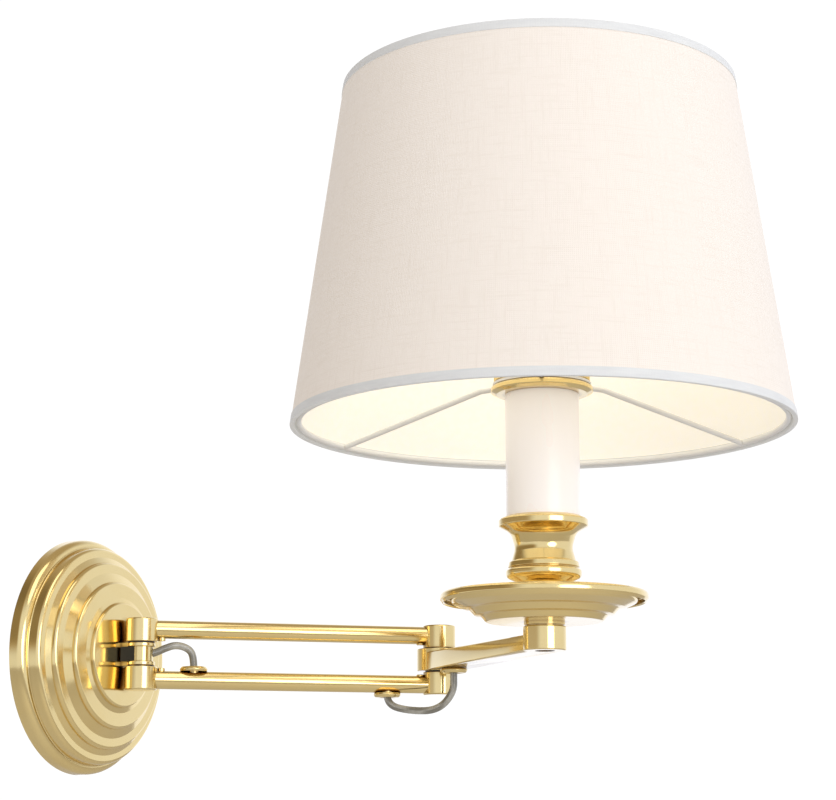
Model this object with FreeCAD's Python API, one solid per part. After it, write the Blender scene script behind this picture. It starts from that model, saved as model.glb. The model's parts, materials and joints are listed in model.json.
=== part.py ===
"""Swing arm wall sconce: a stepped wall plate, a double-tube inner arm, a flat outer arm,
a candle lampholder on a drip pan, and a tapered drum shade on a wire carrier.

Frame: the wall is the plane Y = 0 and the lamp stands out towards -Y. +Z is up. The origin
is the centre of the wall plate's back. Lengths are millimetres.
"""
import FreeCAD, Part
import math
import os

V = FreeCAD.Vector
UP = V(0, 0, 1)
ORIGIN = V(0, 0, 0)

# Arms: lengths between axes, and headings from the wall's normal, positive towards +X
WALL_AXIS_OUT = 39.0
INNER_ARM = 165.5
OUTER_ARM = 145.0
INNER_HEADING = 41.6
OUTER_HEADING = -42.5

# Wall plate: spun from sheet, stepped in concentric rings
PLATE_R = 63.5
PLATE_SHEET = 1.6
PLATE_CENTRE_OUT = 29.0
STEM_R = 5.0
STEM_BORE_R = 2.6
STEM_TAIL_OUT = 21.0
STEM_SEAT_R = 9.5

# Mounting bracket: a strap across the plate's back, with an upturned tab at each end
BRACKET_ANGLE = 45.0
BRACKET_SHEET = 2.0
BRACKET_WIDTH = 22.0
BRACKET_REACH = 58.0
BRACKET_TAB_OUT = 5.6
WALL_HOLE_PCD = 84.0
WALL_HOLE_R = 2.3
GRUB_R = 1.5
GRUB_OUT = 3.6
GRUB_INNER_END = 55.6
GRUB_OUTER_END = 63.0

# Hinges: a pin of PIN_R runs in a bore RUNNING_FIT larger
PIN_R = 3.5
RUNNING_FIT = 0.05
KNUCKLE_HALF = 6.1
WASHER = 0.5
BARREL_BASE = KNUCKLE_HALF + WASHER + 0.05
BARREL_TOP = 19.2
WALL_BARREL_R = 8.7
ELBOW_BARREL_R = 9.0
PIN_TOP = 16.6
SPOOL_FLANGE_R = 7.4
SPOOL_WAIST_R = 6.3
SPOOL_WAIST_HALF = 3.9
SPOOL_BORE_R = 4.8
SPOOL_FACETS = 26

# Inner arm: two round tubes, one above and one below the arm's middle
TUBE_R = 4.9
TUBE_WALL = 1.0
TUBE_Z = 13.5
STOP_PIN_R = 2.0
STOP_PIN_AT = 10.9
STOP_PIN_DROP = 0.55

# Outer arm: a flat bar between the elbow knuckle and the end barrel
ELBOW_KNUCKLE_R = 12.3
BAR_HALF_WIDTH = 10.0
BAR_TOP_AT_ELBOW = 3.9
BAR_TOP_AT_END = 1.8
END_BARREL_R = 10.7
ARM_HALF = 6.0
CHANNEL_HALF_WIDTH = 3.0
CHANNEL_LOW = -3.9
CHANNEL_HIGH = 0.4

# Cord and its eyelets
CORD_R = 2.0
EYELET_R = 7.6
EYELET_HOLE_R = 2.1
EYELET_NECK_R = 2.95
EYELET_THICK = 2.6
TOP_EYELET_AT = 28.5
BOTTOM_EYELET_AT = INNER_ARM - 29.7
ARM_EYELET_AT = 22.0
CORD_SPLICE_AT = 83.0
CORD_IN_BRACKET_OUT = 4.4
CORD_BEND = 5.0
CORD_BEND_IN_TUBE = 4.3
ELBOW_LOOP_DROP = -23.8
ELBOW_LOOP_LOW = -28.5
ELBOW_LOOP_SLANT_SHARE = 0.35

# Candle: heights above the arms' middle
COLLAR_R = 10.2
PAN_BASE = 8.2
PAN_FLOOR = 10.0
CUP_SHELF = 54.5
CUP_TOP = 60.4
SLEEVE_R = 18.6
SLEEVE_WALL = 1.0
SLEEVE_TOP = 122.8
NIPPLE_R = 5.0
NIPPLE_BORE_R = 3.2
NIPPLE_FOOT = 3.5
NIPPLE_TOP = 70.0
HOLDER_R = 17.0
HOLDER_FOOT = 66.0
HOLDER_SPLIT = 80.0
HOLDER_TOP = 136.0
SCREW_SHELL_R = 14.2
SCREW_SHELL_FOOT = 106.0
FLANGE_R = 25.8
FLANGE_THICK = 4.4
CARRIER_THICK = 1.2
CARRIER_RING_R = 24.8
RING_NUT_R = 24.2
RING_NUT_TOP = 133.5
RING_NUT_TEETH = 80

# Bulb
BULB_CAP_R = 13.2
BULB_CAP_FOOT = 108.5
BULB_CAP_TOP = 136.0
BULB_R = 30.0
BULB_CENTRE = 188.0

# Shade: a tapered drum of fabric on a stiff lining, edged with tape
SHADE_BOTTOM_R = 127.0
SHADE_TOP_R = 101.5
SHADE_BOTTOM = 105.8
SHADE_TOP = 284.3
TAPE = 0.4
TAPE_BAND = 4.6
FABRIC = 0.5
LINING = 1.1
RING_WIRE_R = 1.5
CARRIER_WIRE_R = 1.4
CARRIER_ARMS = 3
CARRIER_FACING = -156.4


def heading(angle):
    """Unit vector that leaves the wall, turned from its normal by angle towards +X."""
    turn = math.radians(angle)
    return V(math.sin(turn), -math.cos(turn), 0)


WALL_AXIS = V(0, -WALL_AXIS_OUT, 0)
ELBOW_AXIS = WALL_AXIS + heading(INNER_HEADING) * INNER_ARM
CANDLE_AXIS = ELBOW_AXIS + heading(OUTER_HEADING) * OUTER_ARM


# ---------------------------------------------------------------- building helpers

def rounded_wire(corners, closed):
    """Wire through corners, each (point, radius), with a tangent arc of that radius at each."""
    count = len(corners)
    edges = []
    first = None
    last = None
    for index, (point, radius) in enumerate(corners):
        before = corners[index - 1][0]
        after = corners[(index + 1) % count][0]
        start = point
        end = point
        arc = None
        is_end = not closed and index in (0, count - 1)
        if radius > 0 and not is_end:
            inward = (before - point).normalize()
            outward = (after - point).normalize()
            half = inward.getAngle(outward) / 2
            reach = radius / math.tan(half)
            start = point + inward * reach
            end = point + outward * reach
            centre = point + (inward + outward).normalize() * (radius / math.sin(half))
            middle = centre + (point - centre).normalize() * radius
            arc = Part.Arc(start, middle, end).toShape()
        if last is not None and last.distanceToPoint(start) > 1e-6:
            edges.append(Part.LineSegment(last, start).toShape())
        if arc:
            edges.append(arc)
        if first is None:
            first = start
        last = end
    if closed and last.distanceToPoint(first) > 1e-6:
        edges.append(Part.LineSegment(last, first).toShape())
    return Part.Wire(edges)


def lathe(profile):
    """Solid turned about Z from a closed outline of (radius, height, corner radius)."""
    corners = [(V(radius, 0, height), corner) for radius, height, corner in profile]
    solid = Part.Face(rounded_wire(corners, True)).revolve(ORIGIN, UP, 360)
    return solid if solid.Volume > 0 else solid.reversed()


def ring(outer, inner, low, high, edge=0.0):
    """Flat ring about Z, with its outer edges rounded by edge."""
    return lathe([(inner, low, 0), (outer, low, edge), (outer, high, edge), (inner, high, 0)])


def rod(radius, low, high):
    return Part.makeCylinder(radius, high - low, V(0, 0, low))


def prism(outline, low, high):
    """Upright prism on a polygon of (x, y) corners."""
    points = [V(x, y, low) for x, y in outline]
    return Part.Face(Part.makePolygon(points + points[:1])).extrude(V(0, 0, high - low))


def polygon(sides, radius, inner_radius=None):
    """Corners of a regular polygon, or of a toothed ring when an inner radius is given."""
    corners = []
    for side in range(sides):
        angle = 2 * math.pi * side / sides
        corners.append((radius * math.cos(angle), radius * math.sin(angle)))
        if inner_radius:
            angle += math.pi / sides
            corners.append((inner_radius * math.cos(angle), inner_radius * math.sin(angle)))
    return corners


def box(x_low, x_high, y_low, y_high, z_low, z_high):
    return Part.makeBox(x_high - x_low, y_high - y_low, z_high - z_low, V(x_low, y_low, z_low))


def mirror_z(shape):
    return shape.mirror(ORIGIN, UP)


def both(shape):
    """The shape and its mirror image below the arms' middle, as a group of two solids."""
    return Part.makeCompound([shape, mirror_z(shape)])


def out_of_wall(shape):
    """Turns a shape made about +Z so that +Z becomes the wall's outward normal, -Y."""
    turned = shape.copy()
    turned.rotate(ORIGIN, V(1, 0, 0), 90)
    return turned


def placed(shape, axis, angle):
    """Moves a shape made along +X to stand on an axis and run along a heading."""
    moved = shape.copy()
    moved.rotate(ORIGIN, UP, angle - 90)
    moved.translate(axis)
    return moved


def on_inner_arm(shape):
    return placed(shape, WALL_AXIS, INNER_HEADING)


def on_outer_arm(shape):
    return placed(shape, ELBOW_AXIS, OUTER_HEADING)


def on_candle(shape):
    moved = shape.copy()
    moved.translate(CANDLE_AXIS)
    return moved


def along_x(shape, distance):
    moved = shape.copy()
    moved.translate(V(distance, 0, 0))
    return moved


# ---------------------------------------------------------------- wall side

def wall_plate():
    """Spun shell: a rounded rim and four stepped rings around a slightly domed centre."""
    face = [(PLATE_R, 0, 0), (PLATE_R - 0.6, 8.6, 4.5), (58.6, 8.2, 0.6), (58.0, 14.8, 2.5),
            (50.5, 15.4, 0.5), (50.0, 19.8, 2.0), (39.7, 20.3, 0.4), (39.2, 24.8, 1.8),
            (28.3, 25.3, 0.4), (27.8, 28.2, 1.2)]
    bore = STEM_R + 0.1
    inside = [(radius - PLATE_SHEET, max(out - PLATE_SHEET, 0), corner / 3)
              for radius, out, corner in face]
    seat = STEM_SEAT_R
    centre = [(seat, PLATE_CENTRE_OUT, 0), (bore, PLATE_CENTRE_OUT, 0),
              (bore, PLATE_CENTRE_OUT - PLATE_SHEET, 0), (seat, PLATE_CENTRE_OUT - PLATE_SHEET, 0)]
    shell = lathe(face + centre + inside[::-1])
    for side in (0, 180):
        hole = Part.makeCylinder(GRUB_R + 0.1, 12, V(59, 0, GRUB_OUT), V(1, 0, 0))
        hole.rotate(ORIGIN, UP, side + BRACKET_ANGLE)
        shell = shell.cut(hole)
    return out_of_wall(shell)


def mounting_bracket():
    """Steel strap with two wall holes, and a tapped tab at each end for a grub screw."""
    half = BRACKET_WIDTH / 2
    tab_low = BRACKET_REACH - BRACKET_SHEET
    strap = box(-BRACKET_REACH, BRACKET_REACH, -half, half, 0, BRACKET_SHEET)
    for side in (-1, 1):
        low, high = sorted((side * tab_low, side * BRACKET_REACH))
        tab = box(low, high, -half / 2, half / 2, 0, BRACKET_TAB_OUT)
        strap = strap.fuse(tab)
        strap = strap.cut(rod(WALL_HOLE_R, -1, 5).translate(V(side * WALL_HOLE_PCD / 2, 0, 0)))
    tapped = Part.makeCylinder(GRUB_R, 2 * BRACKET_REACH + 2, V(-BRACKET_REACH - 1, 0, GRUB_OUT),
                               V(1, 0, 0))
    strap = strap.cut(tapped).removeSplitter()
    strap.rotate(ORIGIN, UP, BRACKET_ANGLE)
    return out_of_wall(strap)


def plate_grub_screws():
    """Two slotted grub screws that hold the plate's rim to the bracket's tabs."""
    screws = []
    for side in (0, 180):
        length = GRUB_OUTER_END - GRUB_INNER_END
        body = Part.makeCylinder(GRUB_R, length, V(GRUB_INNER_END, 0, GRUB_OUT), V(1, 0, 0))
        slot = box(GRUB_OUTER_END - 0.8, GRUB_OUTER_END + 1, -2, 2, GRUB_OUT - 0.3, GRUB_OUT + 0.3)
        screw = body.cut(slot)
        screw.rotate(ORIGIN, UP, side + BRACKET_ANGLE)
        screws.append(out_of_wall(screw))
    return Part.makeCompound(screws)


def terminal_block():
    """Three-way block on the strap, with its screw wells and wire ways."""
    block = box(-32, -16, -14, 14, BRACKET_SHEET, 12.0)
    for way in (-8.5, 0, 8.5):
        block = block.cut(rod(1.8, 7.4, 12.5).translate(V(-24, way, 0)))
        wire_way = Part.makeCylinder(1.2, 18, V(-33, way, CORD_IN_BRACKET_OUT + 1), V(1, 0, 0))
        block = block.cut(wire_way)
    block.rotate(ORIGIN, UP, BRACKET_ANGLE)
    return out_of_wall(block)


def terminal_screws():
    screws = []
    for way in (-8.5, 0, 8.5):
        screw = rod(1.8, 8.2, 11.2).cut(box(-2, 2, -0.3, 0.3, 10.6, 12))
        screw.translate(V(-24, way, 0))
        screw.rotate(ORIGIN, UP, BRACKET_ANGLE)
        screws.append(out_of_wall(screw))
    return Part.makeCompound(screws)


def earth_screw():
    """Domed screw and its square washer at the bracket's free side."""
    washer = box(19, 27, -4, 4, BRACKET_SHEET, BRACKET_SHEET + 0.8)
    head = lathe([(0, 2.8, 0), (3.2, 2.8, 0), (3.2, 4.9, 1.2), (0, 4.9, 0)])
    head = head.cut(box(-4, 4, -0.4, 0.4, 4.1, 6))
    head.translate(V(23, 0, 0))
    screw = washer.fuse(head)
    screw.rotate(ORIGIN, UP, BRACKET_ANGLE)
    return out_of_wall(screw)


def wall_knuckle():
    """Spool that carries the inner arm, with a fork, foot and threaded tail through the plate."""
    flange = ring(SPOOL_FLANGE_R, PIN_R, SPOOL_WAIST_HALF, KNUCKLE_HALF, 0.5)
    waist = prism(polygon(SPOOL_FACETS, SPOOL_WAIST_R), -SPOOL_WAIST_HALF, SPOOL_WAIST_HALF)
    spool = waist.cut(rod(SPOOL_BORE_R, -5, 5)).fuse([flange, mirror_z(flange)])
    disc_gap = WALL_AXIS_OUT - PLATE_CENTRE_OUT
    strip = box(-4.5, 4.5, 4.0, disc_gap, SPOOL_WAIST_HALF, KNUCKLE_HALF)
    strip = strip.cut(rod(PIN_R, 0, 10))
    foot = box(-4.5, 4.5, disc_gap - 1, disc_gap, -KNUCKLE_HALF, KNUCKLE_HALF)
    spool = spool.fuse([strip, mirror_z(strip), foot]).translate(WALL_AXIS)
    tail = out_of_wall(rod(STEM_R, STEM_TAIL_OUT, PLATE_CENTRE_OUT + 0.5))
    spool = spool.fuse(tail).cut(out_of_wall(rod(STEM_BORE_R, 5, WALL_AXIS_OUT)))
    cord_way = Part.makeCylinder(2.5, 12, WALL_AXIS + V(0, 0, 0.6), heading(INNER_HEADING))
    return spool.cut(cord_way).removeSplitter()


def cable_block():
    """Insulating block between the fork's strips, bored for the cord."""
    disc_gap = WALL_AXIS_OUT - PLATE_CENTRE_OUT
    block = box(-6.4, 6.4, 0.2, disc_gap - 1.05, -SPOOL_WAIST_HALF + 0.05, SPOOL_WAIST_HALF - 0.05)
    block = block.cut(rod(SPOOL_WAIST_R + 0.02, -5, 5)).translate(WALL_AXIS)
    return block.cut(out_of_wall(rod(STEM_BORE_R, 5, WALL_AXIS_OUT)))


def stem_washer():
    seat = PLATE_CENTRE_OUT - PLATE_SHEET
    return out_of_wall(ring(9.0, STEM_R + 0.1, seat - 1.0, seat))


def stem_nut():
    seat = PLATE_CENTRE_OUT - PLATE_SHEET - 1.0
    nut = prism(polygon(6, 8.6), seat - 3.6, seat)
    return out_of_wall(nut.cut(rod(STEM_R, 0, seat)))


def wall_pivot_studs():
    """Hinge studs screwed into the spool's flanges, one upwards and one downwards."""
    stud = rod(PIN_R, SPOOL_WAIST_HALF + 0.1, PIN_TOP)
    return both(stud).translate(WALL_AXIS)


# ---------------------------------------------------------------- inner arm

def hinge_washers(axis, outer):
    washer = ring(outer, PIN_R + 2 * RUNNING_FIT, KNUCKLE_HALF, KNUCKLE_HALF + WASHER)
    return both(washer).translate(axis)


def barrel(radius, bore_radius):
    """Upper hinge barrel, closed at the top, with a blind bore for its pin."""
    body = lathe([(0, BARREL_BASE, 0), (radius, BARREL_BASE, 0.4), (radius, BARREL_TOP, 0.9),
                  (0, BARREL_TOP, 0)])
    return body.cut(rod(bore_radius, 0, PIN_TOP + 0.1))


def elbow_pivot_pin():
    return rod(PIN_R, -PIN_TOP, PIN_TOP).translate(ELBOW_AXIS)


def arm_tube():
    """Upper tube along +X, its ends coped to the barrels."""
    length = INNER_ARM
    centre = V(0, 0, TUBE_Z)
    tube = Part.makeCylinder(TUBE_R, length, centre, V(1, 0, 0))
    tube = tube.cut(Part.makeCylinder(TUBE_R - TUBE_WALL, length, centre, V(1, 0, 0)))
    tube = tube.cut(rod(WALL_BARREL_R, 0, 30))
    return tube.cut(along_x(rod(ELBOW_BARREL_R, 0, 30), length))


def lower_tube():
    """Lower tube, drilled on top near the wall and underneath near the elbow for the cord."""
    tube = mirror_z(arm_tube())
    tube = tube.cut(along_x(rod(EYELET_NECK_R, -TUBE_Z, 0), TOP_EYELET_AT))
    return tube.cut(along_x(rod(EYELET_NECK_R, -30, -TUBE_Z), BOTTOM_EYELET_AT))


def stop_pins():
    """Small studs on the tubes' facing sides that pin them to the barrels' spigots."""
    skin = TUBE_Z - TUBE_R
    solid_tube = Part.makeCylinder(TUBE_R, INNER_ARM, V(0, 0, TUBE_Z), V(1, 0, 0))
    pins = []
    for at, drop in ((STOP_PIN_AT, 1.4), (INNER_ARM - STOP_PIN_AT, STOP_PIN_DROP)):
        stud = lathe([(0, skin - drop, 0), (STOP_PIN_R, skin - drop, 0.3),
                      (STOP_PIN_R, skin + 1.0, 0), (0, skin + 1.0, 0)])
        stud = along_x(stud, at).cut(solid_tube)
        stud = stud.cut(rod(WALL_BARREL_R, 0, 30))
        stud = stud.cut(along_x(rod(ELBOW_BARREL_R, 0, 30), INNER_ARM))
        pins += [stud, mirror_z(stud)]
    return Part.makeCompound(pins)


def eyelet(seat, wall):
    """Brass eyelet standing up from a seat height, its neck reaching down through a wall."""
    return lathe([(EYELET_HOLE_R, seat - wall, 0), (EYELET_NECK_R, seat - wall, 0),
                  (EYELET_NECK_R, seat, 0), (EYELET_R - 0.4, seat, 0.2),
                  (EYELET_R, seat + 1.2, 0.8), (EYELET_R - 1.2, seat + EYELET_THICK, 0.9),
                  (EYELET_HOLE_R, seat + EYELET_THICK - 0.6, 0.4)])


# ---------------------------------------------------------------- outer arm

def outer_arm_bar():
    """Flat tapering bar with the elbow knuckle at one end and the candle's barrel at the other."""
    knuckle = ring(ELBOW_KNUCKLE_R, PIN_R + RUNNING_FIT, -KNUCKLE_HALF, KNUCKLE_HALF, 0.4)
    side = [(6.0, -ARM_HALF), (OUTER_ARM, -ARM_HALF), (OUTER_ARM, BAR_TOP_AT_END),
            (6.0, BAR_TOP_AT_ELBOW)]
    points = [V(x, -BAR_HALF_WIDTH, z) for x, z in side]
    bar = Part.Face(Part.makePolygon(points + points[:1])).extrude(V(0, 2 * BAR_HALF_WIDTH, 0))
    bar = bar.makeFillet(0.7, [edge for edge in bar.Edges if is_long_edge(edge)])
    bar = bar.cut(rod(PIN_R + RUNNING_FIT, -20, 20))
    end = lathe([(0, -ARM_HALF, 0), (END_BARREL_R, -ARM_HALF, 0.6), (END_BARREL_R, ARM_HALF, 0.6),
                 (0, ARM_HALF, 0)])
    body = knuckle.fuse([bar, along_x(end, OUTER_ARM)])
    channel = box(ARM_EYELET_AT - 3, OUTER_ARM, -CHANNEL_HALF_WIDTH, CHANNEL_HALF_WIDTH,
                  CHANNEL_LOW, CHANNEL_HIGH)
    body = body.cut(channel)
    body = body.cut(along_x(rod(EYELET_NECK_R, -20, CHANNEL_LOW + 1), ARM_EYELET_AT))
    return body.cut(along_x(rod(NIPPLE_R, CHANNEL_LOW, 20), OUTER_ARM)).removeSplitter()


def is_long_edge(edge):
    """True for the bar's lengthwise edges between the knuckle and the end barrel."""
    return edge.Length > OUTER_ARM / 2


def collar():
    """Brass collar under the drip pan, undercut where it meets the end barrel."""
    return lathe([(NIPPLE_R, ARM_HALF, 0), (9.6, ARM_HALF, 0), (9.6, ARM_HALF + 0.6, 0),
                  (COLLAR_R, ARM_HALF + 0.6, 0.2), (COLLAR_R, PAN_BASE, 0), (NIPPLE_R, PAN_BASE, 0)])


def threaded_nipple():
    return ring(NIPPLE_R, NIPPLE_BORE_R, NIPPLE_FOOT, NIPPLE_TOP)


def hex_nut(low, high, corner_radius):
    return prism(polygon(6, corner_radius), low, high).cut(rod(NIPPLE_R, low - 1, high + 1))


def drip_pan():
    """Turned dish, rising from its flat foot in three tiers to a lip that rolls back under."""
    underside = [(NIPPLE_R, PAN_BASE, 0), (29.2, PAN_BASE, 1.5), (31.4, 11.0, 1.2), (34.6, 11.5, 0.3),
                 (37.2, 14.4, 1.6), (40.0, 14.9, 1.0), (46.2, 17.6, 3.0)]
    lip = [(47.2, 21.4, 1.2), (50.2, 21.4, 1.2), (50.3, 19.0, 0.5), (49.5, 18.3, 0.2),
           (50.4, 17.5, 0.3), (51.8, 19.2, 1.4), (51.6, 22.8, 2.2), (46.4, 22.8, 1.2)]
    inside = [(45.0, 18.9, 2.0), (39.6, 16.5, 1.0), (36.3, 15.9, 1.0), (33.8, 13.1, 0.6),
              (30.6, 12.5, 1.0), (28.6, PAN_FLOOR, 0.4), (NIPPLE_R, PAN_FLOOR, 0)]
    return lathe(underside + lip + inside)


def candle_cup():
    """Turned cup: foot, bulb, bead, waist and a flared rim that holds the candle sleeve."""
    outside = [(13.5, PAN_FLOOR, 0), (13.5, 12.2, 0.8), (11.0, 15.0, 2.0), (11.2, 24.0, 6.0),
               (13.0, 27.6, 2.0), (18.9, 30.0, 2.6), (18.9, 33.8, 1.6), (17.2, 34.6, 0.3),
               (17.9, 35.2, 0.5), (17.4, 37.8, 0.8), (16.2, 38.2, 0.3), (14.3, 45.0, 8.0),
               (16.5, 52.5, 6.0), (22.4, 55.6, 0.8), (22.4, 58.9, 1.3), (19.6, CUP_TOP, 0.4)]
    seat = SLEEVE_R + 0.05
    inside = [(seat, CUP_TOP, 0), (seat, CUP_SHELF, 0), (NIPPLE_R + 0.1, CUP_SHELF, 0),
              (NIPPLE_R + 0.1, CUP_SHELF - 3.0, 0), (12.4, CUP_SHELF - 3.0, 1.0),
              (12.4, 42.0, 1.0), (9.4, 20.0, 2.0), (9.4, PAN_FLOOR, 0)]
    return lathe(outside + inside)


def candle_sleeve():
    return ring(SLEEVE_R, SLEEVE_R - SLEEVE_WALL, CUP_SHELF, SLEEVE_TOP, 0.3)


def holder_base():
    """Lower half of the lampholder, screwed on the nipple."""
    body = lathe([(0, HOLDER_FOOT, 0), (12.0, HOLDER_FOOT, 1.5), (HOLDER_R, 72.0, 2.0),
                  (HOLDER_R, HOLDER_SPLIT, 0), (0, HOLDER_SPLIT, 0)])
    return body.cut(rod(NIPPLE_R, HOLDER_FOOT - 1, NIPPLE_TOP)).cut(rod(13.5, NIPPLE_TOP, 90))


def holder_skirt():
    """Upper half of the lampholder, with a threaded outside at the top for the shade rings."""
    profile = [(SCREW_SHELL_R, HOLDER_TOP, 0.4), (SCREW_SHELL_R, SCREW_SHELL_FOOT - 1, 0)]
    profile += [(4.0, SCREW_SHELL_FOOT - 1, 0), (4.0, SCREW_SHELL_FOOT - 5, 0)]
    profile += [(13.5, SCREW_SHELL_FOOT - 5, 0), (13.5, HOLDER_SPLIT, 0)]
    profile += [(HOLDER_R, HOLDER_SPLIT, 0), (HOLDER_R, HOLDER_TOP, 0.8)]
    return lathe(profile)


def screw_shell():
    """Threaded metal shell that takes the bulb's cap."""
    return ring(SCREW_SHELL_R, SCREW_SHELL_R - 0.7, SCREW_SHELL_FOOT - 1, 133.0)


def centre_contact():
    """Sprung tongue under the bulb's tip, on a rivet through the holder's floor."""
    rivet = rod(2.0, SCREW_SHELL_FOOT - 6, SCREW_SHELL_FOOT - 1)
    tongue = box(-6, 6, -2.5, 2.5, SCREW_SHELL_FOOT - 1, SCREW_SHELL_FOOT - 0.4)
    return rivet.fuse(tongue).removeSplitter()


def holder_leads():
    """The cord's two cores, parted inside the lampholder and led up to its contacts."""
    leads = []
    for side in (-1, 1):
        route = [(V(side * 1.1, 0, 72.2), 0), (V(side * 1.1, 0, 78.0), 5.0),
                 (V(side * 8.0, 0, 88.0), 5.0), (V(side * 8.0, 0, SCREW_SHELL_FOOT - 5.1), 0)]
        leads.append(cable(route, 0.9))
    return Part.makeCompound(leads)


def ring_flange():
    """Wide brass ring on top of the sleeve, under the shade carrier."""
    return lathe([(HOLDER_R, SLEEVE_TOP, 0), (23.0, SLEEVE_TOP, 0.6), (FLANGE_R, SLEEVE_TOP + 1.2, 0.8),
                  (FLANGE_R, SLEEVE_TOP + 3.2, 0.8), (24.4, SLEEVE_TOP + FLANGE_THICK, 0.3),
                  (HOLDER_R, SLEEVE_TOP + FLANGE_THICK, 0)])


def ring_nut():
    """Knurled ring nut that clamps the shade carrier down on the flange."""
    low = SLEEVE_TOP + FLANGE_THICK + CARRIER_THICK
    knurl = prism(polygon(RING_NUT_TEETH, RING_NUT_R, RING_NUT_R - 0.7), low + 1.0, RING_NUT_TOP - 1.0)
    body = ring(RING_NUT_R - 0.7, HOLDER_R - 2, low, RING_NUT_TOP, 0.5).fuse(knurl)
    return body.cut(rod(HOLDER_R, low - 1, RING_NUT_TOP + 1)).removeSplitter()


# ---------------------------------------------------------------- bulb

def bulb_cap():
    """Screw cap with a rolled thread and a plain collar, narrowing to the insulator."""
    outline = [(0, BULB_CAP_FOOT, 0), (6.0, BULB_CAP_FOOT, 0), (12.3, BULB_CAP_FOOT + 3.0, 0.6)]
    turn = BULB_CAP_FOOT + 4.0
    while turn < 130.0:
        outline += [(BULB_CAP_R, turn + 0.9, 0.5), (12.3, turn + 2.7, 0.5)]
        turn += 3.6
    outline += [(12.9, 131.5, 0), (12.9, BULB_CAP_TOP, 0), (0, BULB_CAP_TOP, 0)]
    return lathe(outline)


def bulb_contact():
    """Glass insulator and solder tip under the cap."""
    foot = SCREW_SHELL_FOOT - 0.4
    return lathe([(0, foot, 0), (3.2, foot, 0.8), (5.8, BULB_CAP_FOOT, 0), (0, BULB_CAP_FOOT, 0)])


def bulb_glass():
    """Pear-shaped envelope: a ball on a neck that narrows into the cap."""
    neck_r = 12.6
    swell = math.radians(-38)
    joint = (BULB_R * math.cos(swell), BULB_CENTRE + BULB_R * math.sin(swell))
    crown = V(0, 0, BULB_CENTRE + BULB_R)
    side = V(BULB_R, 0, BULB_CENTRE)
    low = V(joint[0], 0, joint[1])
    foot = V(neck_r, 0, BULB_CAP_TOP)
    neck = Part.BSplineCurve()
    neck.interpolate([foot, V(14.6, 0, 147.0), V(19.4, 0, 160.0), low])
    edges = [Part.LineSegment(V(0, 0, BULB_CAP_TOP), foot).toShape(), neck.toShape(),
             Part.Arc(low, side, crown).toShape(),
             Part.LineSegment(crown, V(0, 0, BULB_CAP_TOP)).toShape()]
    return Part.Face(Part.Wire(edges)).revolve(ORIGIN, UP, 360)


# ---------------------------------------------------------------- shade

def shade_r(height):
    """Outer radius of the edge tape's cone at a height."""
    share = (height - SHADE_BOTTOM) / (SHADE_TOP - SHADE_BOTTOM)
    return SHADE_BOTTOM_R + share * (SHADE_TOP_R - SHADE_BOTTOM_R)


def cone_band(low, high, outside, inside):
    """Band of the shade's cone between two heights and two depths below its outer surface."""
    return lathe([(shade_r(low) - inside, low, 0), (shade_r(low) - outside, low, 0),
                  (shade_r(high) - outside, high, 0), (shade_r(high) - inside, high, 0)])


def shade_fabric():
    return cone_band(SHADE_BOTTOM + TAPE, SHADE_TOP - TAPE, TAPE, TAPE + FABRIC)


def shade_lining():
    return cone_band(SHADE_BOTTOM + TAPE, SHADE_TOP - TAPE, TAPE + FABRIC, TAPE + FABRIC + LINING)


def edge_tape(edge, inward):
    """Tape folded over an edge of the shade; inward is +1 at the bottom and -1 at the top."""
    depth = 2 * TAPE + FABRIC + LINING
    far = edge + inward * TAPE_BAND
    near = edge + inward * TAPE
    outline = [(shade_r(edge), edge, 0), (shade_r(far), far, 0), (shade_r(far) - TAPE, far, 0),
               (shade_r(near) - TAPE, near, 0), (shade_r(near) - depth + TAPE, near, 0),
               (shade_r(far) - depth + TAPE, far, 0), (shade_r(far) - depth, far, 0),
               (shade_r(edge) - depth, edge, 0)]
    return lathe(outline)


def ring_wire(edge, inward):
    """Wire hoop lying inside the shade against its edge tape."""
    height = edge + inward * 2.2
    depth = 2 * TAPE + FABRIC + LINING + RING_WIRE_R + 0.35
    return Part.makeTorus(shade_r(height) - depth, RING_WIRE_R, V(0, 0, height))


def carrier_seat():
    return SLEEVE_TOP + FLANGE_THICK


def carrier_ring():
    return ring(CARRIER_RING_R, HOLDER_R + 0.2, carrier_seat(), carrier_seat() + CARRIER_THICK)


def carrier_arm(index):
    """Wire from the carrier's ring out and down to the bottom hoop."""
    hoop_z = SHADE_BOTTOM + 2.2
    hoop_r = shade_r(hoop_z) - (2 * TAPE + FABRIC + LINING + 2 * RING_WIRE_R + 0.35)
    wire_z = carrier_seat() + CARRIER_WIRE_R
    route = [(V(CARRIER_RING_R, 0, wire_z), 0), (V(36.0, 0, wire_z), 10.0),
             (V(hoop_r - 6, 0, hoop_z + CARRIER_WIRE_R), 8.0), (V(hoop_r - 0.3, 0, hoop_z), 0)]
    arm = cable(route, CARRIER_WIRE_R)
    arm.rotate(ORIGIN, UP, CARRIER_FACING + index * 360 / CARRIER_ARMS)
    return arm


# ---------------------------------------------------------------- cord

def cable(route, radius):
    """Round cable along corners of (point, bend radius), its runs joined by tangent arcs."""
    spine = rounded_wire(route, False)
    start = route[0][0]
    direction = route[1][0] - start
    section = Part.Wire(Part.makeCircle(radius, start, direction))
    return spine.makePipeShell([section], True, False)


def inner_point(along, height):
    return WALL_AXIS + heading(INNER_HEADING) * along + V(0, 0, height)


def outer_point(along, height):
    return ELBOW_AXIS + heading(OUTER_HEADING) * along + V(0, 0, height)


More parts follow.
